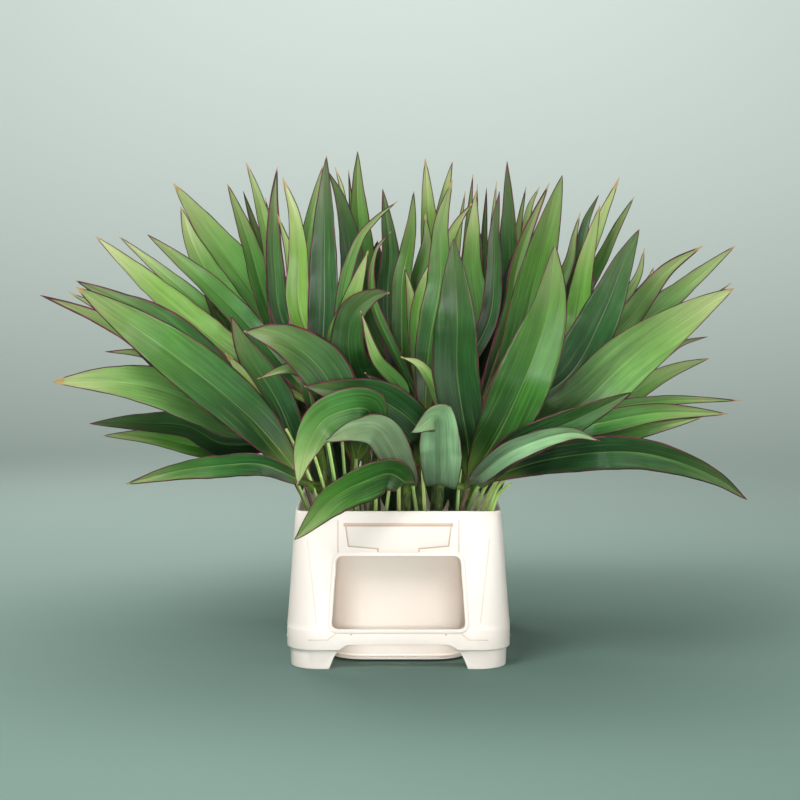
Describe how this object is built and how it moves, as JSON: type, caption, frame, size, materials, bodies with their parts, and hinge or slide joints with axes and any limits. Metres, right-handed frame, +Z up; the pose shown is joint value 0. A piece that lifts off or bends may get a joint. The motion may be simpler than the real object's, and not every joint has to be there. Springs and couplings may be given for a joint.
{
  "type": "container of cut cordyline foliage",
  "caption": "White moulded flower container with a window and an arch in each side, holding cut leafy cordyline stems that stand in water.",
  "frame": {"origin": "on the ground, under the middle of the whole object's box", "axes": "+X to the right and -Y to the viewer of the container's short front side, +Z up"},
  "size_m": [0.9866, 0.7384, 0.699],
  "materials": {
    "plastic": "satin warm white moulded plastic",
    "water": "clear still water",
    "leaf": "waxy green leaves with purple-red margins"
  },
  "bodies": {
    "root": {"container": "plastic", "water": "water", "stem_a1": "leaf", "stem_a2": "leaf", "stem_a3": "leaf", "stem_a4": "leaf", "stem_a5": "leaf", "stem_b1": "leaf", "stem_b2": "leaf", "stem_b3": "leaf", "stem_b4": "leaf", "stem_c1": "leaf", "stem_c2": "leaf", "stem_c3": "leaf", "stem_c4": "leaf", "stem_c5": "leaf", "stem_d1": "leaf", "stem_d2": "leaf", "stem_d3": "leaf", "stem_d4": "leaf", "stem_e1": "leaf", "stem_e2": "leaf", "stem_e3": "leaf", "stem_e4": "leaf"}
  },
  "joints": []
}
